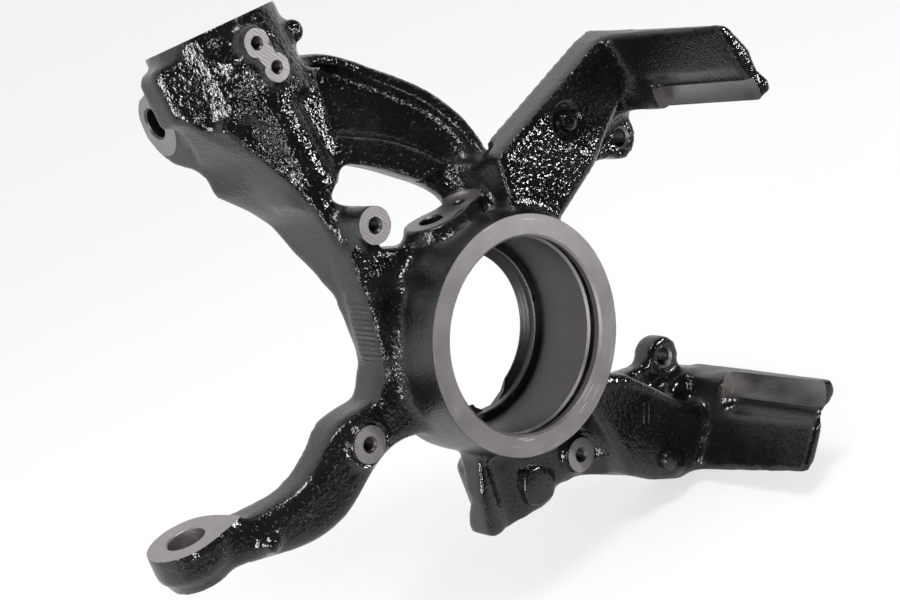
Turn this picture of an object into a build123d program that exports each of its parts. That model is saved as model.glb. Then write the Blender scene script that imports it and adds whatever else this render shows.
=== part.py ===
import os
from math import cos, radians, sin

from build123d import *

# Steering knuckle, one casting. Millimetres, +Z up.
# The origin is the wheel bearing's axis in the hub's outboard face. +Y points inboard, +X to the caliper.

# Hub
hub_face_radius = 52.3
hub_back_radius = 53.8
hub_length = 46.0
bearing_radius = 42.5
bearing_seat_end = 39.6
snap_groove_radius = 45.5
snap_groove_start = 3.6
snap_groove_end = 7.5
shoulder_radius = 38.8
shoulder_end = 43.0
rim_radius = 35.3

# Splash shield bosses: one common face and pitch circle
shield_face = 23.0
shield_pitch_radius = 79.8
shield_boss_radius = 8.1
shield_thread_radius = 2.5
shield_thread_depth = 14.0
shield_countersink_radius = 3.6
shield_angles = (118.3, 187.6, 286.5)
shield_boss_lengths = (26.0, 12.0, 8.0)

# Caliper carrier, in its own radial and tangential directions
caliper_tilt = -5.23
rail_gap_half = 66.8
rail_seat_radius = 112.7
rail_depth = 14.7
blade_end = -56.6
rail_start = -2.3
rail_end = 57.7
arm_front = 8.0
arm_back = 27.0
arm_edge_rounding = 3.5
root_depth = 9.0
lower_arm_back = 31.0
lower_web_face = 28.0
lower_web_back = 39.0
lower_root_face = 20.0
lower_root_back = 32.0
web_rounding = 2.5
pin_face = 25.0
pin_lug_radius = 10.2
pin_lug_back = 37.0
pin_thread_radius = 4.3
pit_centre = (66.5, 71.0)
pit_radius = 8.0
pit_depth = 3.0
gate_radius = 4.2
gate_height = 3.0
pin_upper = (109.0, 45.0)
pin_lower = (92.0, -63.0)
lower_stub = (61.0, -104.0)

# Legs, up to the strut clamp
through = 200.0
side_pad_face = 22.5
side_pad_depth = 18.0
side_pad_chamfer = 1.5

# Strut clamp
strut_x = -45.0
strut_y = 77.0
strut_top = 163.1
strut_lean = 7.73
strut_radius = 24.25
clamp_wall = 5.2
clamp_height = 38.0
collar_reach = 37.0
collar_height = 24.0
collar_drop = 5.0
collar_front = -7.0
collar_rear = 8.0
collar_angle = 51.0
collar_chamfer = 2.5
clamp_stub = (-17.5, 150.5)
clamp_stub_radius = 4.8
clamp_stub_face = 59.0
clamp_stub_length = 14.0
column_radius = 13.0
column_top = (-50.0, 56.0, 154.0)
column_direction = (-0.13, 0.02, 0.99)
column_length = 69.0
ridge_radius = 5.5
ridge_top = (-28.0, 57.0, 146.0)
ridge_direction = (-0.02, 0.06, 0.99)
ridge_length = 54.0
skirt_face = 51.0
skirt_depth = 14.0
clamp_slit = 5.0
slit_length = 62.0
lug_half_width = 25.5
pinch_y = 106.0
pinch_z = 133.0
pinch_bolt_radius = 6.5

# Steering arm
eye_x = -160.0
eye_y = 46.0
eye_top = -9.0
eye_radius = 16.8
eye_height = 18.0
eye_bore_top = 8.1
eye_bore_bottom = 7.2
eye_face_radius = 22.0
arm_rounding = 5.0
arm_stub = (-135.5, -24.5)
arm_stub_radius = 3.4
arm_stub_face = 25.0
stub_length = 8.0
eye_shoulder = 12.0
eye_step = 2.0
eye_draft = 12.0

# Web and ball joint seat
side_web_face = 29.0
side_web_depth = 16.0
ball_x = -10.0
ball_y = 47.0
ball_top = -60.0
ball_bottom = -89.0
ball_radius = 15.5
ball_bore_top = 8.4
ball_bore_bottom = 9.6
ball_web_face = 36.0
ball_web_depth = 8.0
foot_left = -38.0
foot_width = 60.0
foot_channel_radius = 10.0
foot_channel_top = (-20.0, 18.5, -30.0)
foot_channel_direction = (0.06, 0.0, 1.0)
foot_channel_length = 80.0
foot_knob = (-3.0, -79.5)
foot_knob_radius = 6.4
foot_knob_face = 23.0

# Wheel speed sensor seat
sensor_x = -7.0
sensor_y = 28.0
sensor_top = 58.0
sensor_radius = 5.2
sensor_pad_radius = 13.5
sensor_screw_x = 10.5
sensor_screw_y = 29.0
sensor_lobe_radius = 9.5
sensor_screw_radius = 2.5
sensor_screw_depth = 14.0
sensor_pad_depth = 20.0
sensor_clearance = 1.0
sensor_clear_height = 15.0

# Two-hole bracket pad on the clamp
bracket_face = 40.0
bracket_holes = ((-48.1, 155.6), (-43.5, 143.5))
bracket_lobe_radius = 5.9
bracket_thread_radius = 2.1
bracket_depth = 22.0
bracket_thread_depth = 10.0


def facing(y):
    """Sketch plane parallel to the hub's face at depth y; sketch x is X and sketch y is Z."""
    return Plane(origin=(0, y, 0), x_dir=(1, 0, 0), z_dir=(0, -1, 0))


def caliper(y):
    """Sketch plane parallel to the hub's face whose x is the caliper's radial direction."""
    turn = radians(caliper_tilt)
    return Plane(origin=(0, y, 0), x_dir=(cos(turn), 0, sin(turn)), z_dir=(0, -1, 0))


def rail_points(side, steps):
    """Points given from a pad rail's outer corner: radially out, then away from the gap."""
    return [(rail_seat_radius + out, side * (rail_gap_half + away)) for out, away in steps]


strut_plane = Plane(
    origin=(strut_x, strut_y, strut_top),
    x_dir=(1, 0, 0),
    z_dir=(0, sin(radians(strut_lean)), cos(radians(strut_lean))),
)

# The turned hub
with BuildPart() as hub:
    with BuildSketch(Plane.XY):
        with BuildLine():
            Polyline(
                (0, 0), (hub_face_radius - 1, 0), (hub_face_radius, 1), (hub_back_radius, 30),
                (hub_back_radius, hub_length - 4), (hub_back_radius - 4, hub_length), (0, hub_length),
                close=True,
            )
        make_face()
    revolve(axis=Axis.Y)

# Upper caliper arm: a drafted plate from the hub to the rail blade
with BuildPart() as upper_arm:
    with BuildSketch(facing(arm_front)):
        with BuildLine():
            Polyline(
                (20, 40), (23, 73), (100, 96.5), (106, 91), (112.5, 76.5), (102, 66), (87, 55.5),
                (76, 46.5), (44, 32), (36, 20), close=True,
            )
        make_face()
    extrude(amount=-(arm_back - arm_front))
    fillet(upper_arm.faces().sort_by(Axis.Y)[0].edges().sort_by(Axis.X)[-8:], arm_edge_rounding)
    # ejector pit with its gate stub
    with BuildSketch(facing(arm_front)):
        with Locations(pit_centre):
            Circle(pit_radius)
    extrude(amount=-pit_depth, mode=Mode.SUBTRACT)
    with BuildSketch(facing(arm_front + pit_depth)):
        with Locations(pit_centre):
            Circle(gate_radius)
    extrude(amount=pit_depth + gate_height)
with BuildPart() as upper_root:
    with BuildSketch(facing(arm_back - root_depth)):
        with BuildLine():
            Polyline(
                (70, 72), (74, 88), (102, 96.8), (110, 97.5), (117, 89), (121, 79), (121, 68), (126, 62),
                (127, 55), (118.5, 56), (104, 56), (84, 50), close=True,
            )
        make_face()
    extrude(amount=-root_depth)
with BuildPart() as upper_rib:
    with BuildSketch(facing(pin_face)):
        with BuildLine():
            Polyline(
                (28, 34), (60, 50), (92, 62), (116, 64), (119, 56), (118.5, 47), (108, 37), (90, 41),
                (70, 42), (44, 26), close=True,
            )
        make_face()
    extrude(amount=-(pin_lug_back - pin_face))
    fillet(upper_rib.faces().sort_by(Axis.Y)[-1].edges(), web_rounding)
with BuildPart() as upper_blade:
    with BuildSketch(caliper(blade_end)):
        with BuildLine():
            Polyline(
                *rail_points(1, (
                    (-17.7, 38.2), (-10.7, 35.2), (-5.7, 28.7), (-0.2, 21.2), (0.6, 13.2), (6.6, 7.2),
                    (7.7, 1.8), (0, 0), (-6.7, 0), (-8.2, 14.7),
                )), close=True,
            )
        make_face()
    with BuildSketch(caliper(arm_back)):
        with BuildLine():
            Polyline(
                *rail_points(1, (
                    (-20.7, 38.7), (-11.7, 41.2), (-4.7, 32.7), (1.8, 23.2), (2.8, 13.2), (8.3, 7.7),
                    (9.3, 1.2), (0, 0), (-7.7, 0), (-10.7, 14.7),
                )), close=True,
            )
        make_face()
    loft(ruled=True)

# Lower caliper arm
with BuildPart() as lower_arm:
    with BuildSketch(facing(arm_front)):
        with BuildLine():
            Polyline(
                (20, -30), (33, -40), (44, -43.5), (53, -49), (66, -63), (78.5, -77), (93.5, -89),
                (90, -100), (80, -116), (63, -112.5), (48, -104), (36, -94), (33, -80), (28, -62),
                close=True,
            )
        make_face()
    extrude(amount=-(lower_arm_back - arm_front))
    fillet(lower_arm.faces().sort_by(Axis.Y)[0].edges().sort_by(Axis.X)[-10:], arm_edge_rounding)
    with BuildSketch(facing(arm_front + 1)):
        with Locations(lower_stub):
            Circle(gate_radius)
    extrude(amount=gate_height + 1)
with BuildPart() as lower_web:
    with BuildSketch(facing(lower_web_face)):
        with BuildLine():
            Polyline(
                (10, -40), (48, -52), (62, -57), (80, -62), (100, -72), (113, -80), (113, -87),
                (104, -92), (96, -105), (88, -115), (77, -119), (54, -108), (30, -93), (22, -88.5),
                (6, -85), (-10, -60), close=True,
            )
        make_face()
    extrude(amount=-(lower_web_back - lower_web_face))
    fillet(lower_web.faces().sort_by(Axis.Y)[-1].edges(), web_rounding)
with BuildPart() as lower_root:
    with BuildSketch(facing(lower_root_face)):
        with BuildLine():
            Polyline(
                (60, -64), (78, -76), (98, -74), (104, -75), (112, -79), (112, -87), (103, -92), (95, -105),
                (87, -114), (76, -118), (70, -90), close=True,
            )
        make_face()
    extrude(amount=-(lower_root_back - lower_root_face))
with BuildPart() as lower_blade:
    with BuildSketch(caliper(blade_end)):
        with BuildLine():
            Polyline(
                *rail_points(-1, (
                    (-27.2, 32.5), (-22.2, 33.2), (-16.8, 30.1), (-11.3, 23.4), (-3.7, 11.9), (3.9, 8.8),
                    (6.4, 6.4), (5.2, 0), (-6.7, 0), (-9.4, 12.2),
                )), close=True,
            )
        make_face()
    with BuildSketch(caliper(arm_back)):
        with BuildLine():
            Polyline(
                *rail_points(-1, (
                    (-28.7, 41.7), (-22.2, 44.7), (-14.8, 38.2), (-9.3, 27.4), (-1.7, 14.9), (5.9, 9.8),
                    (8.4, 6.4), (7.3, 0), (-8.7, 0), (-12.4, 12.2),
                )), close=True,
            )
        make_face()
    loft(ruled=True)

# Caliper pin lugs
with BuildPart() as pin_lugs:
    for centre in (pin_upper, pin_lower):
        with BuildSketch(facing(pin_face)):
            with Locations(centre):
                Circle(pin_lug_radius)
        extrude(amount=-(pin_lug_back - pin_face))

# Left leg of the strut carrier: a curved wall whose front edge leans inboard as it rises
with BuildPart() as left_leg:
    with BuildSketch(facing(0)):
        with BuildLine():
            outer = Spline((-66, 3), (-58, 12), (-55, 28), (-50.5, 56), (-49.5, 80))
            inner = Spline((-40, 50), (-37.5, 66), (-37.5, 80))
            Line(outer @ 1, inner @ 1)
            Polyline(inner @ 0, (-30, 30), (-30, -6), (-66, -6), outer @ 0)
        make_face()
    extrude(amount=-through)
    with BuildSketch(Plane.YZ):
        with BuildLine():
            Polyline(
                (24, -10), (24, 40), (42, 80), (89, 80), (88, 77), (78, 65), (65, 54), (52, 43), (47.5, 28),
                (44, -10), close=True,
            )
        make_face()
    extrude(amount=through, both=True, mode=Mode.INTERSECT)

# Its upper part sweeps out under the collar: level sections from the front edge round the outer crease
with BuildPart() as left_leg_top:
    for height, outline in (
        (76, ((-49, 40), (-49.5, 84), (-48, 90), (-42, 90), (-37.5, 86), (-37.5, 41))),
        (84, ((-50, 42.5), (-54, 80), (-55, 89), (-46, 90), (-40, 86), (-39.5, 44))),
        (97, ((-54.5, 45.5), (-59.5, 71), (-68, 88), (-60, 90), (-43, 86), (-45, 47))),
        (110, ((-60, 49), (-63.5, 63), (-69.5, 86), (-62, 90), (-46, 86), (-52, 51))),
        (122, ((-67, 53), (-71, 58), (-74.5, 76), (-66, 88), (-48, 86), (-59, 55))),
        (137.5, ((-79, 62), (-81, 64), (-81, 70), (-68, 88), (-50, 86), (-66, 63))),
    ):
        with BuildSketch(Plane.XY.offset(height)):
            with BuildLine():
                Polyline(*outline, close=True)
            make_face()
    loft(ruled=True)

# Locating pad on the left leg's outer side
with BuildPart() as side_pad:
    with BuildSketch(facing(side_pad_face)):
        with BuildLine():
            Polyline((-54.5, 44), (-58.5, 15), (-50, 14), (-47, 44), close=True)
        make_face()
    extrude(amount=-side_pad_depth)
    chamfer(side_pad.faces().sort_by(Axis.Y)[0].edges(), side_pad_chamfer)

# Rear leg of the strut carrier: a curved channel arm with a thin outer flange
with BuildPart() as rear_leg:
    with BuildSketch(facing(0)):
        with BuildLine():
            outer = Spline((-22, 139), (-5, 136), (17, 120), (35, 99), (39.5, 84), (37, 66), (32, 44))
            inner = Spline((12, 42), (13.5, 56), (9, 64), (0, 73), (-10, 82.5), (-24, 92))
            Line(outer @ 1, inner @ 0)
            Polyline(inner @ 1, (-40, 92), (-40, 142), outer @ 0)
        make_face()
    extrude(amount=-through)
    with BuildSketch(Plane.YZ):
        with BuildLine():
            Polyline(
                (24, 30), (24, 62), (34, 74), (48, 96), (62, 120), (67, 143), (86, 143), (78, 118),
                (62, 92), (48, 72), (46, 30), close=True,
            )
        make_face()
    extrude(amount=through, both=True, mode=Mode.INTERSECT)

with BuildPart() as rear_pocket:
    with BuildSketch(facing(0)):
        with BuildLine():
            pocket_outer = Spline((-20, 132), (-4, 130), (13, 115), (29, 95), (33, 80), (32, 68))
            pocket_inner = Spline((16, 74), (6, 88), (-8, 98), (-21, 104))
            Line(pocket_outer @ 1, pocket_inner @ 0)
            Line(pocket_inner @ 1, pocket_outer @ 0)
        make_face()
    extrude(amount=-through)
    with BuildSketch(Plane.YZ):
        with BuildLine():
            Polyline(
                (20, 50), (33, 62), (43, 74), (56, 96), (70, 120), (74, 134), (40, 134), (20, 96),
                close=True,
            )
        make_face()
    extrude(amount=through, both=True, mode=Mode.INTERSECT)

# Strut clamp: a split sleeve with a flat-sided collar and two pinch lugs
clamp_radius = strut_radius + clamp_wall
with BuildPart() as clamp:
    with BuildSketch(strut_plane):
        Circle(clamp_radius)
    extrude(amount=-clamp_height)
    with BuildSketch(strut_plane.offset(-collar_drop)):
        with BuildLine():
            Polyline(
                (-collar_reach, collar_front),
                (-clamp_radius * sin(radians(collar_angle)), -clamp_radius * cos(radians(collar_angle))),
                (0, 0), (-collar_reach, collar_rear), close=True,
            )
        make_face()
    extrude(amount=-collar_height)
    chamfer(clamp.faces().sort_by(Axis.X)[0].edges().sort_by(Axis.Z)[-1:], collar_chamfer)
    with BuildSketch(Plane.YZ.offset(strut_x)):
        with BuildLine():
            Polyline(
                (strut_y + 10, pinch_z + 16), (pinch_y - 4, pinch_z + 15), (pinch_y + 6, pinch_z + 11),
                (pinch_y + 12, pinch_z + 3), (pinch_y + 12, pinch_z - 6), (pinch_y + 7, pinch_z - 15),
                (pinch_y - 1, pinch_z - 20), (strut_y + 8, pinch_z - 24), close=True,
            )
        make_face()
    extrude(amount=lug_half_width, both=True)

    # casting stub on the rear leg's root
    with BuildSketch(facing(clamp_stub_face)):
        with Locations(clamp_stub):
            Circle(clamp_stub_radius)
    extrude(amount=-clamp_stub_length)

# Column down the front of the sleeve, and the wall that joins both legs under it
with BuildPart() as column:
    with BuildSketch(Plane(column_top, x_dir=(1, 0, 0), z_dir=column_direction)):
        Circle(column_radius)
        with Locations((0, column_radius / 2)):
            Rectangle(2 * column_radius, column_radius)
    extrude(amount=-column_length)
    with BuildSketch(Plane(ridge_top, x_dir=(1, 0, 0), z_dir=ridge_direction)):
        Circle(ridge_radius)
    extrude(amount=-ridge_length)
with BuildPart() as skirt:
    with BuildSketch(facing(skirt_face)):
        with BuildLine():
            Polyline(
                (-72, 128), (-58, 110), (-48, 92), (-40, 86), (-35, 86), (-31, 90), (-27, 94), (-17, 91),
                (-8, 83), (4, 96), (-4, 130), (-40, 140), close=True,
            )
        make_face()
    extrude(amount=-skirt_depth)

# Steering arm
with BuildPart() as steering_arm:
    with BuildSketch(facing(0)):
        with BuildLine():
            top = Spline(
                (-40, 3), (-78, 3.2), (-90, 1.5), (-98.5, -3.5), (-108, -9.2), (-122, -12), (-140, -11.3),
                (-160, -11),
            )
            bottom = Spline((-160, -26), (-138, -30.6), (-117, -36), (-98, -34), (-80, -24.5), (-52, -22.5))
            Line(top @ 1, bottom @ 0)
            Polyline(bottom @ 1, (-40, -24), top @ 0)
        make_face()
    extrude(amount=-through)
    with BuildSketch(Plane.XY):
        with BuildLine():
            Polyline(
                (-40, 24), (-100, 26), (-130, 29), (-160, 32), (-160, 58), (-142, 50), (-120, 44),
                (-96, 43), (-84, 46), (-40, 46), close=True,
            )
        make_face()
    extrude(amount=through, both=True, mode=Mode.INTERSECT)
    arm_edges = steering_arm.edges().filter_by(lambda e: e.length > 60 and e.center().X < -60)
    fillet(arm_edges, arm_rounding)
    with BuildSketch(facing(arm_stub_face)):
        with Locations(arm_stub):
            Circle(arm_stub_radius)
    extrude(amount=-stub_length)
with BuildPart() as eye:
    with BuildSketch(Plane.XY.offset(eye_top)):
        with Locations((eye_x, eye_y)):
            Circle(eye_radius)
    extrude(amount=-eye_shoulder)
    with BuildSketch(Plane.XY.offset(eye_top - eye_shoulder)):
        with Locations((eye_x, eye_y)):
            Circle(eye_radius - eye_step)
    extrude(amount=-(eye_height - eye_shoulder), taper=eye_draft)

# Web between the left leg, the hub and the steering arm
with BuildPart() as side_web:
    with BuildSketch(facing(side_web_face)):
        with BuildLine():
            Polyline(
                (-50, 63.5), (-22, 53), (-10, 0), (-20, -45), (-42, -26), (-60, -17), (-74, -16), (-64, 6),
                (-56, 16), close=True,
            )
        make_face()
    extrude(amount=-side_web_depth)

# Ball joint foot
with BuildPart() as foot:
    with BuildSketch(Plane.YZ.offset(foot_left)):
        with BuildLine():
            Polyline(
                (26, -20), (26, -89), (38, -91), (41, -84), (41, -76), (36, -68), (39, -62), (40, -54),
                (40, -20), close=True,
            )
        make_face()
    extrude(amount=foot_width)
    with BuildSketch(facing(0)):
        with BuildLine():
            Polyline(
                (-24, -30), (-29, -50), (-34.5, -64), (-38, -83.5), (-34, -86), (-14, -87.5), (-5, -88.5),
                (3, -87), (6, -83), (12, -82.5), (22, -80), (22, -30), close=True,
            )
        make_face()
    extrude(amount=-through, mode=Mode.INTERSECT)
    with BuildSketch(Plane(foot_channel_top, x_dir=(1, 0, 0), z_dir=foot_channel_direction)):
        Circle(foot_channel_radius)
    extrude(amount=-foot_channel_length, mode=Mode.SUBTRACT)
    with BuildSketch(facing(foot_knob_face)):
        with Locations(foot_knob):
            Circle(foot_knob_radius)
    extrude(amount=-stub_length)
with BuildPart() as ball_boss:
    with BuildSketch(Plane.XY.offset(ball_bottom)):
        with Locations((ball_x, ball_y)):
            Circle(ball_radius)
    extrude(amount=ball_top - ball_bottom)
    with BuildSketch(facing(ball_web_face)):
        with BuildLine():
            Polyline((-28, -50), (-24, -88), (8, -88), (14, -50), close=True)
        make_face()
    extrude(amount=-ball_web_depth)

# Splash shield bosses
with BuildPart() as shield_bosses:
    for angle, length in zip(shield_angles, shield_boss_lengths):
        with BuildSketch(facing(shield_face)):
            with PolarLocations(shield_pitch_radius, 1, start_angle=angle):
                Circle(shield_boss_radius)
        extrude(amount=-length)

# Wheel speed sensor seat on top of the hub
with BuildPart() as sensor_seat:
    with BuildSketch(Plane.XY.offset(sensor_top)):
        with Locations((sensor_x, sensor_y)):
            Circle(sensor_pad_radius)
        with Locations((sensor_screw_x, sensor_screw_y)):
            Circle(sensor_lobe_radius)
        with BuildLine():
            Polyline((-3, 15), (13, 20), (11, 38), (-8, 41.4), close=True)
        make_face()
    extrude(amount=-sensor_pad_depth)

# Two-hole bracket pad
with BuildPart() as bracket_pad:
    with BuildSketch(facing(bracket_face)):
        with Locations(*bracket_holes):
            Circle(bracket_lobe_radius)
        with BuildLine():
            Polyline((-51.8, 154.2), (-44.4, 157), (-39.8, 144.9), (-47.2, 142.1), close=True)
        make_face()
    extrude(amount=-bracket_depth)

# The casting and its machining
with BuildPart() as steering_knuckle:
    for piece in (
        hub, upper_arm, upper_root, upper_rib, upper_blade, lower_arm, lower_web, lower_root, lower_blade,
        pin_lugs, left_leg, left_leg_top, side_pad, rear_leg, clamp, column, skirt,
        steering_arm, eye, side_web, foot, ball_boss, shield_bosses, sensor_seat, bracket_pad,
    ):
        add(piece.part)
    add(rear_pocket.part, mode=Mode.SUBTRACT)
    # bearing bore, snap ring groove and shoulder
    with BuildSketch(Plane.XY):
        with BuildLine():
            Polyline(
                (0, 0), (bearing_radius + 0.6, 0), (bearing_radius, 0.6),
                (bearing_radius, snap_groove_start),
                (snap_groove_radius, snap_groove_start), (snap_groove_radius, snap_groove_end),
                (bearing_radius + 0.6, snap_groove_end), (bearing_radius, snap_groove_end + 1.5),
                (bearing_radius, bearing_seat_end), (shoulder_radius, bearing_seat_end),
                (shoulder_radius, shoulder_end), (rim_radius, hub_length - 0.7), (rim_radius, hub_length),
                (0, hub_length), close=True,
            )
        make_face()
    revolve(axis=Axis.Y, mode=Mode.SUBTRACT)
    # relief in the rim for a puller
    with BuildSketch(facing(shoulder_end)):
        with BuildLine():
            Polyline(
                (-8.7, -28), (-8.7, -35.5), (-6, -38.6), (0.5, -39.8), (8.5, -36.8), (14, -32), (8, -28),
                close=True,
            )
        make_face()
    extrude(amount=-(hub_length - shoulder_end), mode=Mode.SUBTRACT)
    # strut bore, slit and pinch bolt
    with BuildSketch(strut_plane.offset(2)):
        Circle(strut_radius)
    extrude(amount=-(clamp_height + 2), mode=Mode.SUBTRACT)
    with BuildSketch(strut_plane.offset(2)):
        with Locations((0, 30)):
            Rectangle(clamp_slit, 60)
    extrude(amount=-slit_length, mode=Mode.SUBTRACT)
    with BuildSketch(Plane.YZ.offset(strut_x)):
        with Locations((pinch_y, pinch_z)):
            Circle(pinch_bolt_radius)
    extrude(amount=2 * lug_half_width, both=True, mode=Mode.SUBTRACT)
    # pad rails
    for side in (1, -1):
        with BuildSketch(caliper(rail_start)):
            with BuildLine():
                seat = ThreePointArc(
                    *rail_points(side, ((-8.4, rail_depth + 0.8), (-2.4, 8.6), (0, -0.8)))
                )
                Polyline(seat @ 1, *rail_points(side, ((-16.7, -0.8), (-16.7, rail_depth + 0.8))), seat @ 0)
            make_face()
        extrude(amount=rail_end - rail_start, mode=Mode.SUBTRACT)
    # steering arm eye
    with BuildSketch(Plane.XY.offset(eye_top)):
        with Locations((eye_x, eye_y)):
            Circle(eye_face_radius)
    extrude(amount=eye_height, mode=Mode.SUBTRACT)
    with BuildSketch(Plane.XY.offset(eye_top)):
        with Locations((eye_x, eye_y)):
            Circle(eye_bore_top)
    with BuildSketch(Plane.XY.offset(eye_top - eye_height - 2)):
        with Locations((eye_x, eye_y)):
            Circle(eye_bore_bottom)
    loft(mode=Mode.SUBTRACT)
    # ball joint bore
    with BuildSketch(Plane.XY.offset(ball_bottom)):
        with Locations((ball_x, ball_y)):
            Circle(ball_bore_bottom)
    with BuildSketch(Plane.XY.offset(ball_top + 2)):
        with Locations((ball_x, ball_y)):
            Circle(ball_bore_top)
    loft(mode=Mode.SUBTRACT)
    # threaded holes
    for angle in shield_angles:
        with BuildSketch(facing(shield_face)):
            with PolarLocations(shield_pitch_radius, 1, start_angle=angle):
                Circle(shield_thread_radius)
        extrude(amount=-shield_thread_depth, mode=Mode.SUBTRACT)
        with BuildSketch(facing(shield_face)):
            with PolarLocations(shield_pitch_radius, 1, start_angle=angle):
                Circle(shield_countersink_radius)
        extrude(
            amount=-(shield_countersink_radius - shield_thread_radius), taper=45, mode=Mode.SUBTRACT
        )
    for centre in (pin_upper, pin_lower):
        with BuildSketch(facing(pin_face)):
            with Locations(centre):
                Circle(pin_thread_radius)
        extrude(amount=-(pin_lug_back - pin_face), mode=Mode.SUBTRACT)
    with BuildSketch(facing(bracket_face)):
        with Locations(*bracket_holes):
            Circle(bracket_thread_radius)
    extrude(amount=-bracket_thread_depth, mode=Mode.SUBTRACT)
    with BuildSketch(Plane.XY.offset(sensor_top)):
        with Locations((sensor_x, sensor_y)):
            Circle(sensor_pad_radius + sensor_clearance)
        with Locations((sensor_screw_x, sensor_screw_y)):
            Circle(sensor_lobe_radius + sensor_clearance)
    extrude(amount=sensor_clear_height, mode=Mode.SUBTRACT)
    with BuildSketch(Plane.XY.offset(sensor_top)):
        with Locations((sensor_x, sensor_y)):
            Circle(sensor_radius)
    extrude(amount=-sensor_pad_depth, mode=Mode.SUBTRACT)
    with BuildSketch(Plane.XY.offset(sensor_top)):
        with Locations((sensor_screw_x, sensor_screw_y)):
            Circle(sensor_screw_radius)
    extrude(amount=-sensor_screw_depth, mode=Mode.SUBTRACT)

steering_knuckle.part.label = "steering_knuckle"
os.makedirs("parts", exist_ok=True)
export_step(steering_knuckle.part, "parts/steering_knuckle.step")
print("solids", len(steering_knuckle.solids()), "volume", round(steering_knuckle.part.volume))
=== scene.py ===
from math import atan2, cos, hypot, pi, radians, sin

import bmesh
import bpy
from mathutils import Matrix, Vector


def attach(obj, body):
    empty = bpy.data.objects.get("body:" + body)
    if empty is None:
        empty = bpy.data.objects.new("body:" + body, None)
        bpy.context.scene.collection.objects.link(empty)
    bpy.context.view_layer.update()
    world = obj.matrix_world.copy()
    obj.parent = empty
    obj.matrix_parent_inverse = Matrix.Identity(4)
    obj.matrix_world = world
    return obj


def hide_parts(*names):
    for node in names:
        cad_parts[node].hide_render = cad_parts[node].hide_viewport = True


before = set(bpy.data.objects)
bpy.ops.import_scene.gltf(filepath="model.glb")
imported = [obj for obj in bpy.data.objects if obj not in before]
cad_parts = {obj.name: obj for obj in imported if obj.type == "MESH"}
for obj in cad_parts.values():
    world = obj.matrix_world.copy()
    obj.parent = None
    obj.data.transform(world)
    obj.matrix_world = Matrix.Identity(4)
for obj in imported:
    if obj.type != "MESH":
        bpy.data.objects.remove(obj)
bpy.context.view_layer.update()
print("frame loaded")

mm = 0.001


# a socket that adds its own Math nodes when it is used in an expression
class Wire:
    def __init__(self, graph, socket):
        self.graph = graph
        self.socket = socket

    def calc(self, operation, *others):
        return self.graph.node("ShaderNodeMath", {"operation": operation}, [self, *others])

    def __add__(self, other):
        return self.calc("ADD", other)

    def __sub__(self, other):
        return self.calc("SUBTRACT", other)

    def __rsub__(self, other):
        return self.graph.node("ShaderNodeMath", {"operation": "SUBTRACT"}, [other, self])

    def __mul__(self, other):
        return self.calc("MULTIPLY", other)

    def __pow__(self, other):
        return self.calc("POWER", other)

    __radd__ = __add__
    __rmul__ = __mul__


class Graph:
    def __init__(self, owner):
        owner.use_nodes = True
        self.tree = owner.node_tree
        self.tree.nodes.clear()

    # settings are set first, then sockets by name or by place get a value or a link
    def node(self, kind, settings=None, sockets=None, out=0):
        made = self.tree.nodes.new(kind)
        for name, value in (settings or {}).items():
            setattr(made, name, value)
        pairs = enumerate(sockets) if isinstance(sockets, list) else (sockets or {}).items()
        for name, value in pairs:
            if isinstance(value, Wire):
                self.tree.links.new(value.socket, made.inputs[name])
            elif value is not None:
                made.inputs[name].default_value = value
        return Wire(self, made.outputs[out]) if len(made.outputs) else made

    def blend(self, mask, low, high):
        return self.node(
            "ShaderNodeMix", {"data_type": "RGBA", "blend_type": "MIX"}, {0: mask, 6: low, 7: high}, out=2
        )

    def place(self):
        return self.node("ShaderNodeTexCoord", out=3)

    def axis(self, place, letter):
        return self.node("ShaderNodeSeparateXYZ", None, [place], out="XYZ".index(letter))

    def noise(self, place, scale, detail=2.0, rough=0.5):
        return self.node(
            "ShaderNodeTexNoise", None,
            {"Vector": place, "Scale": scale, "Detail": detail, "Roughness": rough},
        )

    def between(self, value, low, high):
        return self.node(
            "ShaderNodeMapRange", {"interpolation_type": "SMOOTHSTEP"},
            {"Value": value, "From Min": low, "From Max": high},
        )

    def bump(self, height, depth, strength=1.0, under=None):
        return self.node(
            "ShaderNodeBump", None,
            {"Strength": strength, "Distance": depth, "Height": height, "Normal": under},
        )

    def finish(self, shader):
        self.node("ShaderNodeOutputMaterial", None, {"Surface": shader})


# paint over the sand-cast skin; the pebbled sand shows on the upper front faces, the rest is nearly smooth
paint = {
    "colour": (0.004, 0.004, 0.0043, 1),
    "worn": (0.009, 0.009, 0.0095, 1),
    "roughness": 0.08,
    "pebble": 450,
    "pebbleDepth": 0.0007,
    "speck": 640,
    "speckDepth": 0.00035,
    "grit": 1300,
    "gritDepth": 0.00024,
    "coarseFrom": -0.035,
    "coarseTo": 0.015,
    "patch": 26,
    "columnLean": 0.484,
    "columnStart": -0.136,
    "columnEnd": -0.122,
    "dust": 60,
}


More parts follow.
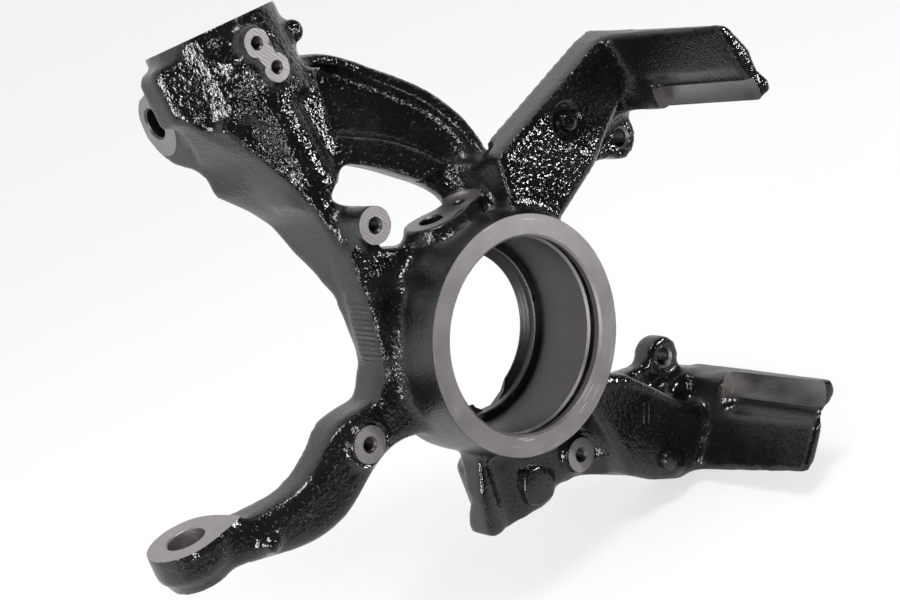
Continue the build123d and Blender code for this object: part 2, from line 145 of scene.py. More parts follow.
def makePaint():
    material = bpy.data.materials.new("blackPaint")
    g = Graph(material)
    place = g.place()
    facing = g.axis(g.node("ShaderNodeTexCoord", out=1), "Y")
    front = g.between(facing, -0.1, -0.65)
    upper = g.between(g.axis(place, "Z"), paint["coarseFrom"], paint["coarseTo"])
    patch = g.between(g.noise(place, paint["patch"], 1.0), 0.4, 0.6)
    across = g.axis(place, "X") - g.axis(place, "Z") * paint["columnLean"]
    column = g.between(across, paint["columnStart"], paint["columnEnd"])
    # pebbles stand everywhere a little, and most on the upper front faces beside the column
    coarse = front * (0.12 + upper * (0.4 + patch * 0.48) * (0.3 + column * 0.7))
    pebble = g.noise(place, paint["pebble"], 2.0, 0.5)
    grit = g.noise(place, paint["grit"], 1.0) * (1.0 - front * 0.75)
    pebbles = g.bump(pebble * (0.2 + coarse), paint["pebbleDepth"])
    speck = g.between(g.noise(place, paint["speck"], 1.0), 0.64, 0.74)
    specks = g.bump(speck * front, paint["speckDepth"], under=pebbles)
    skin = g.bump(grit, paint["gritDepth"], under=specks)
    dust = g.between(g.noise(place, paint["dust"], 3.0), 0.45, 0.7)
    g.finish(g.node("ShaderNodeBsdfPrincipled", None, {
        "Base Color": g.blend(dust, paint["colour"], paint["worn"]),
        "Roughness": paint["roughness"] + dust * 0.04 + (1.0 - front) * 0.14, "Normal": skin, "IOR": 1.6,
    }))
    return material


# bare iron as each tool leaves it; the pitch and depth are those of the tool's marks
bareIron = {
    "turned": {"colour": (0.33, 0.31, 0.31, 1), "roughness": 0.42, "pitch": 0.0009, "depth": 0.00002},
    "milled": {"colour": (0.34, 0.325, 0.32, 1), "roughness": 0.44, "pitch": 0.0014, "depth": 0.00003},
    "planed": {"colour": (0.27, 0.262, 0.255, 1), "roughness": 0.3, "pitch": 0.0008, "depth": 0.00003},
    # the bored colour is darker than the other cuts as painted shade inside the bore and the holes
    "bored": {"colour": (0.1, 0.098, 0.096, 1), "roughness": 0.34, "pitch": 0.0009, "depth": 0.00002},
    "threaded": {"colour": (0.07, 0.068, 0.065, 1), "roughness": 0.4, "pitch": 0.0009, "depth": 0.00002},
}
ironSkin = {
    "wobble": 300, "cloud": 85, "speck": 900, "speckDepth": 0.00004, "scratch": 1500.0, "scratchRound": 2.2,
    "scratchTone": (0.75, 0.72, 0.7, 1),
}


def makeIron(name):
    look = bareIron[name]
    material = bpy.data.materials.new(name + "Iron")
    g = Graph(material)
    place = g.place()
    x, y, z = (g.axis(place, letter) for letter in "XYZ")
    if name == "turned":
        path = (x * x + z * z) ** 0.5
    elif name == "milled":
        path = x * 0.8 + z * 0.6
    elif name == "planed":
        path = z
    else:
        path = y
    wobble = g.noise(place, ironSkin["wobble"], 2.0) * 0.4
    lay = g.node("ShaderNodeMath", {"operation": "SINE"}, [path * (2 * pi / look["pitch"]) + wobble * 6.0])
    cloud = g.noise(place, ironSkin["cloud"], 4.0, 0.6)
    speck = g.between(g.noise(place, ironSkin["speck"], 2.0), 0.6, 0.75)
    tone = g.between(cloud, 0.3, 0.7)
    red, green, blue, solid = look["colour"]
    colour = g.blend(tone, (red * 0.9, green * 0.9, blue * 0.9, solid),
                     (red * 1.08, green * 1.07, blue * 1.06, solid))
    if name == "turned":  # thin bright scratches along the cutter's path
        turn = g.node("ShaderNodeMath", {"operation": "ARCTAN2"}, [z, x])
        ring = g.node("ShaderNodeCombineXYZ", None, [
            path * ironSkin["scratch"], turn * ironSkin["scratchRound"], 0.0,
        ])
        mark = g.between(g.noise(ring, 1.0, 1.0), 0.7, 0.76)
        colour = g.blend(mark, colour, ironSkin["scratchTone"])
    gloss = look["roughness"] + tone * 0.1 + speck * 0.1
    g.finish(g.node("ShaderNodeBsdfPrincipled", None, {
        "Base Color": colour, "Metallic": 1.0, "Roughness": gloss,
        "Normal": g.bump(lay, look["depth"], 0.6, g.bump(speck, ironSkin["speckDepth"], 0.5)),
    }))
    return material


blackPaint = makePaint()
turnedIron, milledIron, planedIron, boredIron, threadIron = (makeIron(name) for name in bareIron)
print("finishes ready")


# a frame whose local z runs along a direction, at a point in millimetres
def aim(point, direction, across=None):
    z = Vector(direction).normalized()
    x = Vector(across or ((1, 0, 0) if abs(z.x) < 0.9 else (0, 1, 0)))
    x = (x - x.dot(z) * z).normalized()
    y = z.cross(x)
    turn = Matrix((x, y, z)).transposed().to_4x4()
    return Matrix.Translation(Vector(point) * mm) @ turn


def meshOf(name, points, faces, place, material):
    mesh = bpy.data.meshes.new(name)
    mesh.from_pydata([place @ (Vector(p) * mm) for p in points], [], faces)
    mesh.materials.append(material)
    b = bmesh.new()
    b.from_mesh(mesh)
    bmesh.ops.recalc_face_normals(b, faces=b.faces)
    b.to_mesh(mesh)
    b.free()
    made = bpy.data.objects.new(name, mesh)
    bpy.context.scene.collection.objects.link(made)
    return made


# a solid of revolution about local z; the profile runs from one end of the axis to the other,
# or back to its own start for a ring, and winding grows the radius round a thread
def turned(name, profile, place, material, steps=96, winding=None):
    points, faces, rings = [], [], []
    for r, h in profile:
        if rings and (r, h) == profile[0]:
            rings.append(rings[0])
            continue
        if r == 0:
            rings.append([len(points)])
            points.append((0, 0, h))
            continue
        rings.append(list(range(len(points), len(points) + steps)))
        for i in range(steps):
            a = 2 * pi * i / steps
            grow = winding(a, h) if winding else 0
            points.append(((r + grow) * cos(a), (r + grow) * sin(a), h))
    for low, high in zip(rings, rings[1:]):
        for i in range(steps):
            j = (i + 1) % steps
            if len(low) == 1:
                faces.append((low[0], high[i], high[j]))
            elif len(high) == 1:
                faces.append((low[i], low[j], high[0]))
            else:
                faces.append((low[i], low[j], high[j], high[i]))
    return meshOf(name, points, faces, place, material)


# a straight prism along local z from one height to another
def prism(name, outline, low, high, place, material):
    n = len(outline)
    points = [(x, y, h) for h in (low, high) for x, y in outline]
    faces = [tuple(range(n))[::-1], tuple(range(n, 2 * n))]
    faces += [(i, (i + 1) % n, n + (i + 1) % n, n + i) for i in range(n)]
    return meshOf(name, points, faces, place, material)


# a tapped hole: the thread winds once round for each pitch
def tapped(name, core, pitch, low, high, place, material):
    depth = 0.55 * pitch
    rows = max(4, int((high - low) / (pitch / 6)))
    heights = [low + (high - low) * i / rows for i in range(rows + 1)]

    def winding(a, h):
        turn = (h / pitch - a / (2 * pi)) % 1
        fade = min(1, (h - low) / pitch, (high - h) / pitch)
        return depth * fade * (1 - abs(2 * turn - 1))

    profile = [(0, low)] + [(core - 0.02, h) for h in heights] + [(0, high)]
    return turned(name, profile, place, material, 40, winding)


# a plain round plug from one height to another
def plug(name, r, low, high, place, material, steps=96):
    return turned(name, [(0, low), (r, low), (r, high), (0, high)], place, material, steps)


# a shallow painted ring round a machined face, open towards -z
def ringCut(name, inner, outer, deep, place):
    clear = -7
    return turned(name, [
        (inner, clear), (inner, deep - 0.5), (inner + 0.5, deep), (outer - 1.2, deep * 0.7), (outer, 0),
        (outer + 1.5, clear), (inner, clear),
    ], place, blackPaint, 64)


def arc(x, y, r, start, turn, steps):
    angles = [start + turn * i / steps for i in range(steps + 1)]
    return [(x + r * cos(a), y + r * sin(a)) for a in angles]


def circle(x, y, r, steps=48):
    return arc(x, y, r, 0, 2 * pi, steps)[:-1]


# local z runs inboard, local x along X and local y along -Z, so an outline in X and Z is flipped
def inboard(x, z, y=0):
    return aim((x, y, z), (0, 1, 0), (1, 0, 0))


def flipped(outline):
    return [(x, -z) for x, z in outline]


stock, cuts = [], []  # what machining removes is first added, so that each cut leaves a crisp edge

# the turned hub and its bearing bore
hub = {
    "rim": 52.3, "bore": 42.5, "seatEnd": 39.6, "groove": 45.5, "grooveStart": 3.6, "grooveEnd": 7.5,
    "shoulder": 38.8, "shoulderEnd": 43.0, "mouth": 35.3, "length": 46.0, "waist": 48, "stockFace": -2.4,
    "chamfer": 1.1, "steps": 160, "facing": 62,
    "relief": ((-8.7, 20), (-8.7, 35.5), (-6, 38.6), (0.5, 39.8), (8.5, 36.8), (14, 32), (8, 20)),
}
axle = inboard(0, 0)
stock.append(turned("hubStock", [
    (0, hub["stockFace"]), (hub["rim"], hub["stockFace"]), (hub["rim"] + 0.4, 6), (hub["waist"], 8),
    (hub["waist"], hub["length"]), (0, hub["length"]),
], axle, blackPaint))
cuts.append(plug("hubFacing", hub["facing"], -9, 0, axle, turnedIron, hub["steps"]))
bore, shoulder, seatEnd = hub["bore"], hub["shoulder"], hub["seatEnd"]
cuts.append(turned("bearingBore", [
    (0, -4), (bore, -4), (bore, hub["grooveStart"]), (hub["groove"], hub["grooveStart"]),
    (hub["groove"], hub["grooveEnd"]), (bore, hub["grooveEnd"]), (bore, seatEnd), (shoulder, seatEnd),
    (shoulder, hub["shoulderEnd"]), (hub["mouth"], hub["length"] - 0.7), (hub["mouth"], hub["length"] + 6),
    (0, hub["length"] + 6),
], axle, boredIron, hub["steps"]))
for name, edge in (("Lip", 0.0), ("Seat", hub["grooveEnd"])):
    cuts.append(turned("bore" + name, [
        (0, edge - 0.1), (bore + hub["chamfer"], edge - 0.1), (bore - 0.1, edge + hub["chamfer"]),
        (0, edge + hub["chamfer"]),
    ], axle, milledIron, hub["steps"]))
cuts.append(turned("boreShoulder", [
    (0, seatEnd - 0.4), (shoulder + 0.5, seatEnd - 0.05), (shoulder - 0.2, seatEnd + 0.65),
    (0, seatEnd + 0.7),
], axle, milledIron, hub["steps"]))
cuts.append(prism("pullerRelief", hub["relief"], hub["shoulderEnd"], 54, axle, boredIron))

# splash shield bosses
shield = {
    "face": 23.0, "ring": 79.8, "radius": 8.1, "relief": 11.0, "reliefDeep": 1.3, "core": 2.5, "mouth": 3.6,
    "depth": 14.0, "pitch": 1.0, "threadStart": 1.3, "threadEnd": 11.5, "angles": (118.3, 187.6, 286.5),
}
for number, angle in enumerate(shield["angles"], 1):
    seat = inboard(shield["ring"] * cos(radians(angle)), shield["ring"] * sin(radians(angle)), shield["face"])
    tag, core = str(number), shield["core"]
    stock.append(plug("bossStock" + tag, shield["radius"] + 0.2, -3, 5, seat, blackPaint))
    cuts.append(plug("bossFacing" + tag, shield["radius"], -7, 0, seat, milledIron))
    cuts.append(ringCut("bossRelief" + tag, shield["radius"], shield["relief"], shield["reliefDeep"], seat))
    cuts.append(turned("bossHole" + tag, [
        (0, -2), (shield["mouth"] + 1.1, -2), (shield["mouth"], 0), (core, 1.1), (core, shield["depth"]),
        (0, shield["depth"] + 1.4),
    ], seat, boredIron, 48))
    cuts.append(tapped("bossThread" + tag, core, shield["pitch"], shield["threadStart"], shield["threadEnd"],
                       seat, threadIron))

# guide pin lugs
guide = {
    "face": 25.0, "depth": 12.0, "stock": 8, "core": 4.3, "chamfer": 1.1, "pitch": 1.25, "threadStart": 1.1,
    "threadEnd": 11.1, "upper": (109.0, 45.0), "lower": (92.0, -63.0),
}
for name in ("upper", "lower"):
    seat = inboard(*guide[name], guide["face"])
    core, depth = guide["core"], guide["depth"]
    stock.append(plug(name + "LugStock", guide["stock"], 0, depth, seat, blackPaint, 32))
    cuts.append(turned(name + "LugHole", [
        (0, -3), (core + guide["chamfer"], -3), (core + guide["chamfer"], 0.1), (core, 1.2),
        (core, depth - 1.0), (core + 1.2, depth + 0.2), (core + 1.2, depth + 3), (0, depth + 3),
    ], seat, milledIron, 64))
    cuts.append(tapped(name + "LugThread", core, guide["pitch"], guide["threadStart"], guide["threadEnd"],
                       seat, threadIron))

# wheel speed sensor seat; the cutter leaves the wall bare only near the seat
sensor = {
    "top": 58.0, "bareWall": 1.6, "clear": 15, "hole": (-7.0, 28.0), "radius": 5.2, "holeCutter": 14.5,
    "lobe": (10.5, 29.0), "screw": 2.5, "lobeCutter": 10.5,
}
upright = aim((0, 0, 0), (0, 0, 1))
top, r, core = sensor["top"], sensor["radius"], sensor["screw"]
stock.append(prism("sensorStock", circle(*sensor["hole"], 8), 40, top + 1.5, upright, blackPaint))
stock.append(prism("screwStock", circle(*sensor["lobe"], 7), 42, top + 1.5, upright, blackPaint))
for name in ("hole", "lobe"):
    outline = circle(*sensor[name], sensor[name + "Cutter"], 72)
    cuts.append(prism(name + "Facing", outline, top, top + sensor["bareWall"], upright, milledIron))
    cuts.append(prism(name + "Clearance", outline, top + 1.5, top + sensor["clear"], upright, blackPaint))
cuts.append(turned("sensorScrew", [
    (0, 43), (core, 44.5), (core, top - 0.7), (core + 0.9, top + 0.2), (core + 0.9, top + 4), (0, top + 4),
], aim((*sensor["lobe"], 0), (0, 0, 1)), boredIron, 48))
cuts.append(turned("sensorHole", [
    (0, 38), (r, 38), (r, top - 0.6), (r + 0.6, top), (r + 0.6, top + 4), (0, top + 4),
], aim((*sensor["hole"], 0), (0, 0, 1)), boredIron, 64))

# steering arm eye; its facing runs out to a point towards the arm
eye = {
    "centre": (-160.0, 46.0), "top": -9.0, "height": 18.0, "wide": 8.1, "narrow": 7.2, "facing": 27.0,
    "backFacing": 20, "stock": ((0, -19), (12, -19), (16.5, -5), (16.8, 1.8), (0, 1.8)),
    "runOut": ((-143.7, 50.0), (-139.5, 32.9), (-156.8, 29.5), (-160.0, 46.0)),
}
seat = aim((*eye["centre"], eye["top"]), (0, 0, 1))
stock.append(turned("eyeStock", eye["stock"], seat, blackPaint))
outline = [(x - eye["centre"][0], y - eye["centre"][1]) for x, y in eye["runOut"]]
stock.append(prism("eyeRunOut", outline, -9, 1.6, seat, blackPaint))
cuts.append(plug("eyeFacing", eye["facing"], 0, 12, seat, milledIron))
cuts.append(turned("eyeTaper", [
    (0, -24), (eye["narrow"] + 2, -24), (eye["narrow"], -18.5), (eye["wide"] - 0.02, -0.5),
    (eye["wide"] + 1.5, 1), (0, 1),
], seat, milledIron))
cuts.append(plug("eyeBack", eye["backFacing"], -26, -eye["height"], seat, milledIron))

# two-hole bracket pad, one waisted outline
bracket = {
    "face": 40.0, "holes": ((-48.1, 155.6), (-43.5, 143.5)), "lobe": 6.2, "lobeStart": 48, "waist": 4.5,
    "core": 2.1, "depth": 10, "pitch": 0.8, "threadStart": 0.9, "threadEnd": 9,
}
core, depth = bracket["core"], bracket["depth"]
for number, (x, z) in enumerate(bracket["holes"], 1):
    seat = inboard(x, z, bracket["face"])
    tag = str(number)
    stock.append(plug("padStock" + tag, bracket["lobe"] + 0.1, -3, 6, seat, blackPaint, 48))
    cuts.append(turned("padHole" + tag, [
        (0, -2), (core + 1.8, -2), (core + 0.8, 0), (core, 0.8), (core, depth), (0, depth + 1),
    ], seat, boredIron, 40))
    cuts.append(tapped("padThread" + tag, core, bracket["pitch"], bracket["threadStart"],
                       bracket["threadEnd"], seat, threadIron))
(ax, az), (bx, bz) = bracket["holes"]
reach = hypot(bx - ax, bz - az)
seat = aim((ax, bracket["face"], az), (0, 1, 0), (bx - ax, 0, bz - az))
start, turn = radians(bracket["lobeStart"]), radians(360 - 2 * bracket["lobeStart"])
outline = [
    *arc(0, 0, bracket["lobe"], start, turn, 32), (reach / 2, -bracket["waist"]),
    *arc(reach, 0, bracket["lobe"], start + pi, turn, 32), (reach / 2, bracket["waist"]),
]
stock.append(prism("padWaist", [
    (1, -4.4), (reach - 1, -4.4), (reach - 1, 4.4), (1, 4.4),
], -3, 6, seat, blackPaint))
cuts.append(prism("padFacing", outline, -7, 0, seat, milledIron))

# split strut clamp and its pinch bolt
strut = {
    "top": (-45.0, 77.0, 163.1), "lean": 7.73, "radius": 24.25, "wall": 29, "height": 38.0, "slit": 5.0,
    "slitLow": -62, "slitReach": 60, "bolt": (-45.0, 106.0, 133.0), "boltRadius": 6.5, "lug": 25.5,
    "facing": 40, "lugStock": 12, "lugFacing": 15,
}
lean = radians(strut["lean"])
seat = aim(strut["top"], (0, sin(lean), cos(lean)), (1, 0, 0))
r, low, half, lug = strut["radius"], -strut["height"], strut["slit"] / 2, strut["lug"]
stock.append(turned("clampStock", [
    (0, low), (strut["wall"], low), (strut["wall"] + 0.45, 1.2), (0, 1.2),
], seat, blackPaint))
cuts.append(plug("clampFacing", strut["facing"], 0, 9, seat, milledIron))
cuts.append(turned("strutBore", [(0, low), (r, low), (r, -1), (r + 2, 1), (0, 1)], seat, boredIron, 128))
cuts.append(prism("clampSlit", [
    (-half, 0), (half, 0), (half, strut["slitReach"]), (-half, strut["slitReach"]),
], strut["slitLow"], 4, seat, milledIron))
bolt = aim(strut["bolt"], (1, 0, 0))
r = strut["boltRadius"]
stock.append(plug("boltStock", strut["lugStock"], -lug - 1.1, lug + 1.1, bolt, blackPaint))
cuts.append(turned("boltHole", [
    (0, -40), (r + 0.9, -40), (r + 0.9, -lug), (r, 0.9 - lug), (r, lug - 0.9), (r + 0.9, lug), (r + 0.9, 40),
    (0, 40),
], bolt, boredIron, 64))
for side, tag in ((-1, "Out"), (1, "In")):
    outward = aim(strut["bolt"], (side, 0, 0))
    cuts.append(plug("lugFacing" + tag, strut["lugFacing"], lug, 36, outward, milledIron))

# ball joint seat
ball = {
    "centre": (-10.0, 47.0), "top": -60.0, "bottom": -89.0, "wide": 9.6, "narrow": 8.4, "stock": 13,
    "facing": 17,
}
seat = aim((*ball["centre"], 0), (0, 0, 1))
top, bottom, wide, narrow = ball["top"], ball["bottom"], ball["wide"], ball["narrow"]
stock.append(plug("ballStock", ball["stock"], bottom - 1, top + 0.5, seat, blackPaint, 64))
cuts.append(plug("ballFacing", ball["facing"], bottom - 10, bottom, seat, milledIron))
cuts.append(turned("ballTaper", [
    (0, bottom - 3), (wide + 1.3, bottom - 3), (wide, bottom + 0.8), (narrow, top - 0.4),
    (narrow + 1, top + 1), (narrow + 1, top + 10), (0, top + 10),
], seat, boredIron))

# pad rails: the arc runs through three points, and the cutter sweeps its outer part
rail = {
    "tilt": -5.23, "start": -2.3, "end": -60, "seat": 112.7, "half": 66.8, "proud": 4.5, "stockEnd": 6.7,
    "stockStart": -56.4, "steps": 24, "swept": 9, "away": ((90, 62), (90, 74)),
}
tilt = radians(rail["tilt"])


def railArc(side, out):
    points = [(rail["seat"] - 8.4, rail["half"] + 15.5), (rail["seat"] - 2.4, rail["half"] + 8.6),
              (rail["seat"], rail["half"] - 0.8)]
    (ax, ay), (bx, by), (cx, cy) = points
    d = 2 * (ax * (by - cy) + bx * (cy - ay) + cx * (ay - by))
    aa, bb, cc = ax**2 + ay**2, bx**2 + by**2, cx**2 + cy**2
    ux = (aa * (by - cy) + bb * (cy - ay) + cc * (ay - by)) / d
    uy = (aa * (cx - bx) + bb * (ax - cx) + cc * (bx - ax)) / d
    a0, a1 = atan2(ay - uy, ax - ux), atan2(cy - uy, cx - ux)
    path = arc(ux, uy, hypot(ax - ux, ay - uy) + out, a0, a1 - a0, rail["steps"])
    return [(x, -side * y) for x, y in path][rail["swept"]:]


for side, tag in ((1, "Upper"), (-1, "Lower")):
    seat = aim((0, 0, 0), (0, 1, 0), (cos(tilt), 0, sin(tilt)))
    swept, away = railArc(side, 0.0), [(x, -side * y) for x, y in rail["away"]]
    stock.append(prism("railStock" + tag, swept + railArc(side, -rail["proud"])[::-1], rail["stockStart"],
                       rail["stockEnd"], seat, blackPaint))
    cuts.append(prism("rail" + tag, swept + away, rail["end"], rail["start"], seat, planedIron))
    cuts.append(prism("railEnd" + tag, railArc(side, -0.2) + away, rail["end"] - 2, rail["start"] + 0.4, seat,
                      milledIron))

# small marks of the pattern, cut into the rounded skin or joined to it
marks = {
    "pit": (66.5, 71.0, 8.0), "pitRim": 8.6, "pitStub": 4.2, "pitDeep": 2.9,
    "pin": (36.0, -53.0, 8.0), "pinRadius": 4.2, "pinDeep": 0.35,
    "ticks": (((56.0, -65.7), (51.7, -75.0)), ((58.9, -67.3), (54.6, -76.7))),
    "tickFace": 7.5, "tickHalf": 0.4, "tickBack": 3, "tickEdge": 0.2,
    "knob": ((-10.2, -65.5), (-2, -67), (2.6, -74), (3.2, -80), (0, -84.6), (-8.5, -85), (-14.2, -81),
             (-14.6, -73)), "knobFace": 22.4, "knobBack": 31, "knobEdge": 1.3,
    "stub": (58.2, -98.4, 4.4), "stubRadius": 4.6, "clampPin": (-17.5, 150.5, 59),
    "clampPinRim": ((0, -0.6), (3.6, -0.6), (4.6, 0), (5.0, 1.2), (5.2, 8), (0, 8)),
    "combFrom": (-58.5, 16.0), "combTo": (-54.7, 43.0), "combSpan": (21.0, 41.0), "combTeeth": 12,
    "tooth": ((0.2, -0.2), (0.4, 0.45), (0.65, 0.45), (0.85, -0.2)),
}
rim, stub, deep = marks["pitRim"], marks["pitStub"], marks["pitDeep"]
cuts.append(turned("pitRing", [
    (stub + 0.2, -6), (stub, deep - 0.8), (stub + 0.9, deep), (rim - 1.6, deep), (rim - 0.4, 1.2),
    (rim + 0.8, 0), (rim + 0.8, -6), (stub + 0.2, -6),
], inboard(*marks["pit"]), blackPaint, 48))
r, deep = marks["pinRadius"], marks["pinDeep"]
cuts.append(turned("pinRing", [
    (r - 0.5, -4), (r - 0.2, deep), (r + 0.2, deep), (r + 0.5, -4), (r - 0.5, -4),
], inboard(*marks["pin"]), blackPaint, 40))
first, last = Vector(marks["combFrom"]), Vector(marks["combTo"])
along = (last - first) / marks["combTeeth"]
inward = Vector((along.y, -along.x)).normalized()
outline = [first - inward * 6, first - inward * 0.2]
for i in range(marks["combTeeth"]):
    outline += [first + along * i + along * far + inward * deep for far, deep in marks["tooth"]]
outline += [last - inward * 0.2, last - inward * 6]
cuts.append(prism("padComb", flipped(outline), *marks["combSpan"], axle, blackPaint))
print("cutters ready:", len(cuts))

# the raw casting: the solid with its machining stock, as one rounded skin; sizes in millimetres
casting = {"voxel": 1.6, "fillet": 1.9, "rounds": 4, "lump": 0.12, "lumpSize": 9.0}


def joined(name, parts):
    b = bmesh.new()
    for part in parts:
        b.from_mesh(part.data)
    mesh = bpy.data.meshes.new(name)
    b.to_mesh(mesh)
    b.free()
    made = bpy.data.objects.new(name, mesh)
    bpy.context.scene.collection.objects.link(made)
    return made


def settle(thing):
    graph = bpy.context.evaluated_depsgraph_get()
    mesh = bpy.data.meshes.new_from_object(thing.evaluated_get(graph))
    thing.modifiers.clear()
    thing.data = mesh


# pads and pins that stay crisp join the skin after it is rounded
def rounded(thing, width):
    step = thing.modifiers.new("edges", "BEVEL")
    step.width = width * mm
    step.segments = 3
    step.limit_method = "ANGLE"
    settle(thing)
    return thing


proud = []
knob = prism("footKnob", flipped(marks["knob"]), marks["knobFace"], marks["knobBack"], axle, blackPaint)
proud.append(rounded(knob, marks["knobEdge"]))
r = marks["stubRadius"]
proud.append(turned("lowerStub", [
    (0, 0), (r - 1.6, 0), (r - 0.5, 0.5), (r, 1.5), (r + 0.4, 9), (0, 9),
], inboard(*marks["stub"]), blackPaint, 32))
proud.append(turned("clampPin", marks["clampPinRim"], inboard(*marks["clampPin"]), blackPaint, 32))
half = marks["tickHalf"]
for number, ((ax, az), (bx, bz)) in enumerate(marks["ticks"], 1):
    seat = aim((ax, marks["tickFace"], az), (0, 1, 0), (bx - ax, 0, bz - az))
    end = hypot(bx - ax, bz - az)
    outline = [(0, -half), (end, -half), (end, half), (0, half)]
    tick = prism("tick%d" % number, outline, 0, marks["tickBack"], seat, blackPaint)
    proud.append(rounded(tick, marks["tickEdge"]))

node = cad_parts["steering_knuckle"]
knuckle = joined("steeringKnuckle", [node, *stock])
knuckle.data.materials.clear()
knuckle.data.materials.append(blackPaint)


def ease(thing, rounds):
    for _ in range(rounds):
        for factor in (0.5, -0.52):
            step = thing.modifiers.new("ease", "SMOOTH")
            step.factor = factor
            step.iterations = 2


def swell(thing, amount):
    step = thing.modifiers.new("swell", "DISPLACE")
    step.strength = amount * mm
    step.mid_level = 0
    return step


def reskin(thing):
    step = thing.modifiers.new("skin", "REMESH")
    step.mode = "VOXEL"
    step.voxel_size = casting["voxel"] * mm


# growing and shrinking the skin leaves a fillet in every inside corner
reskin(knuckle)
ease(knuckle, 2)
swell(knuckle, casting["fillet"])
reskin(knuckle)
ease(knuckle, 3)
swell(knuckle, -casting["fillet"])
reskin(knuckle)
ease(knuckle, casting["rounds"])
cloud = bpy.data.textures.new("sandLumps", "CLOUDS")
cloud.noise_scale = casting["lumpSize"] * mm
cloud.noise_depth = 0
lumps = swell(knuckle, casting["lump"])
lumps.texture = cloud
lumps.texture_coords = "GLOBAL"
lumps.mid_level = 0.5
ease(knuckle, 1)
settle(knuckle)
print("raw casting:", len(knuckle.data.polygons), "faces")

for cut in proud + cuts:
    tool = knuckle.modifiers.new(cut.name, "BOOLEAN")
    tool.operation = "UNION" if cut in proud else "DIFFERENCE"
    tool.solver = "MANIFOLD"
    tool.material_mode = "TRANSFER"
    tool.object = cut
settle(knuckle)
for part in stock + proud + cuts:
    bpy.data.objects.remove(part)
print("machined:", len(knuckle.data.polygons), "faces,", [m.name for m in knuckle.data.materials])


# chips that a cutter leaves loose are swept away
def sweep(b):
    left, islands = set(b.verts), []
    while left:
        edge = [left.pop()]
        island = list(edge)
        while edge:
            v = edge.pop()
            for e in v.link_edges:
                other = e.other_vert(v)
                if other in left:
                    left.remove(other)
                    island.append(other)
                    edge.append(other)
        islands.append(island)
    islands.sort(key=len)
    for island in islands[:-1]:
        bmesh.ops.delete(b, geom=island, context="VERTS")
    print("loose chips removed:", len(islands) - 1)


b = bmesh.new()
b.from_mesh(knuckle.data)
sweep(b)
bmesh.ops.triangulate(b, faces=[f for f in b.faces if len(f.verts) > 4])
bends = {"paint": radians(55), "iron": radians(25)}  # a sharper bend than this is an edge
flat = [number for number, m in enumerate(knuckle.data.materials) if m in (turnedIron, milledIron)]
for f in b.faces:
    f.smooth = f.material_index not in flat
for e in b.edges:
    if len(e.link_faces) == 2:
        one, two = e.link_faces
        edgeOfCut = one.material_index != two.material_index
        limit = bends["iron" if one.material_index > 0 else "paint"]  # the paint is the first slot
        e.smooth = not (edgeOfCut or e.calc_face_angle(0) > limit)
b.to_mesh(knuckle.data)
b.free()

# the bore is turned, so its corners point straight at the axle
shadedBoredSlot = knuckle.data.materials.find("boredIron")
reach = hub["groove"] + 1.5
corners = [(0, 0, 0)] * len(knuckle.data.loops)
for face in knuckle.data.polygons:
    middle = face.center / mm
    inBore = hypot(middle.x, middle.z) < reach and abs(face.normal.y) < 0.9
    if inBore and face.material_index == shadedBoredSlot:
        for loop in face.loop_indices:
            at = knuckle.data.vertices[knuckle.data.loops[loop].vertex_index].co
            wide = (1 - face.normal.y**2) ** 0.5 / hypot(at.x, at.z)
            corners[loop] = (-at.x * wide, face.normal.y, -at.z * wide)
knuckle.data.normals_split_custom_set(corners)

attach(knuckle, "root")
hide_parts("steering_knuckle")

# floor, lights and camera
studio = {
    "floor": -0.1215, "floorHalf": 6, "seenTone": 0.95, "darkTone": (0.03, 0.03, 0.031, 1),
    "paleTone": (0.9, 0.9, 0.9, 1), "whiteShare": 0.6,
    "frontRoom": (0.035, 0.035, 0.037, 1), "fill": (0.75, 0.76, 0.78, 1),
    "eye": (-0.3782, -0.5002, 0.2414),
    "right": (0.70546, -0.62620, -0.33197), "up": (0.46052, 0.04896, 0.88630),
    "back": (-0.53875, -0.77813, 0.32291),
    "lens": 62.8,
}


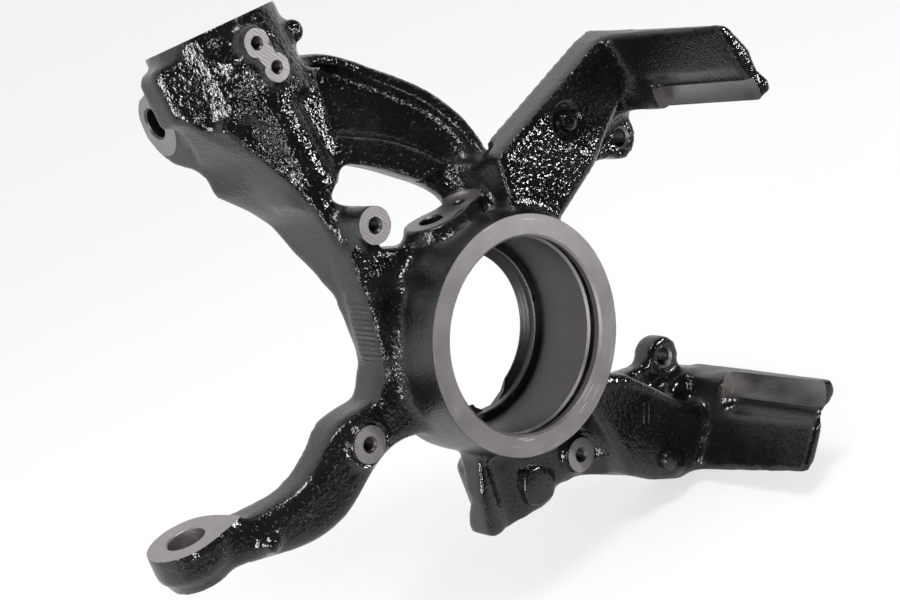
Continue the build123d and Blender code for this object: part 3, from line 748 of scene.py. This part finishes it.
def makeStudio():
    b = bmesh.new()
    bmesh.ops.create_grid(b, x_segments=1, y_segments=1, size=studio["floorHalf"])
    mesh = bpy.data.meshes.new("floor")
    b.to_mesh(mesh)
    b.free()
    floor = bpy.data.objects.new("floor", mesh)
    floor.location.z = studio["floor"]
    bpy.context.scene.collection.objects.link(floor)
    material = bpy.data.materials.new("paleFloor")
    g = Graph(material)
    seen = g.node("ShaderNodeLightPath", out="Is Camera Ray")
    near = g.between(g.axis(g.place(), "Y"), -0.3, 0.1)
    # metal sees a dark floor in front and a pale one behind; the camera sees it pale throughout
    sheet = g.node("ShaderNodeBsdfPrincipled", None, {
        "Base Color": g.blend(seen, g.blend(near, studio["darkTone"], studio["paleTone"]),
                              (studio["seenTone"],) * 3 + (1,)),
        "Roughness": 0.9, "Specular IOR Level": 0.0,
    })
    white = g.node("ShaderNodeEmission", None, {"Color": (1, 1, 1, 1), "Strength": 1.0})
    g.finish(g.node("ShaderNodeMixShader", None, [seen * studio["whiteShare"], sheet, white]))
    mesh.materials.append(material)

    world = bpy.data.worlds.new("studioWorld")
    bpy.context.scene.world = world
    g = Graph(world)
    direct, mirrored, through = (g.node("ShaderNodeLightPath", out=name) for name in (
        "Is Camera Ray", "Is Glossy Ray", "Is Transmission Ray"))
    way = g.node("ShaderNodeTexCoord", out=0)
    behind = g.between(g.axis(way, "Y"), -0.35, 0.25)
    room = g.blend(behind, studio["frontRoom"], (1, 1, 1, 1))
    shown = g.node("ShaderNodeMath", {"operation": "MAXIMUM"}, [direct, through])
    soft = g.blend(mirrored, studio["fill"], room)
    colour = g.blend(shown, soft, (1, 1, 1, 1))
    back = g.node("ShaderNodeBackground", None, {"Color": colour, "Strength": 1.0})
    g.node("ShaderNodeOutputWorld", None, {"Surface": back})


def makeLight(name, place, target, size, power):
    lamp = bpy.data.lights.new(name, "AREA")
    lamp.shape = "RECTANGLE"
    lamp.size, lamp.size_y = size
    lamp.energy = power
    thing = bpy.data.objects.new(name, lamp)
    thing.location = place
    thing.rotation_mode = "QUATERNION"
    thing.rotation_quaternion = (Vector(target) - Vector(place)).to_track_quat("-Z", "Y")
    bpy.context.scene.collection.objects.link(thing)


makeStudio()
# name, place, target, size in metres and power in watts
lamps = (
    ("topBox", (-0.1, -0.4, 1.25), (0, 0, 0), (0.45, 0.3), 7),
    ("leftStrip", (-1.25, -0.45, 0.25), (0, 0, 0), (0.2, 0.6), 7),
    ("frontStrip", (-0.72, -1.1, 0.12), (0, 0, 0.03), (0.08, 0.2), 1.4),
    ("lowCard", (-0.34, -0.46, -0.08), (-0.05, 0.05, 0.11), (0.06, 0.05), 0.6),
    ("rightStrip", (0.95, -0.95, 0.02), (0, 0, 0.03), (0.12, 0.2), 7),
)
for lamp in lamps:
    makeLight(*lamp)

view = bpy.data.cameras.new("view")
view.lens = studio["lens"]
view.sensor_width = 36
view.clip_start = 0.01
camera = bpy.data.objects.new("camera", view)
camera.location = studio["eye"]
turn = Matrix([studio[side] for side in ("right", "up", "back")]).transposed()
camera.rotation_mode = "QUATERNION"
camera.rotation_quaternion = turn.to_quaternion()
bpy.context.scene.collection.objects.link(camera)
bpy.context.scene.camera = camera
bpy.context.scene.view_settings.view_transform = "Standard"
print("studio ready")
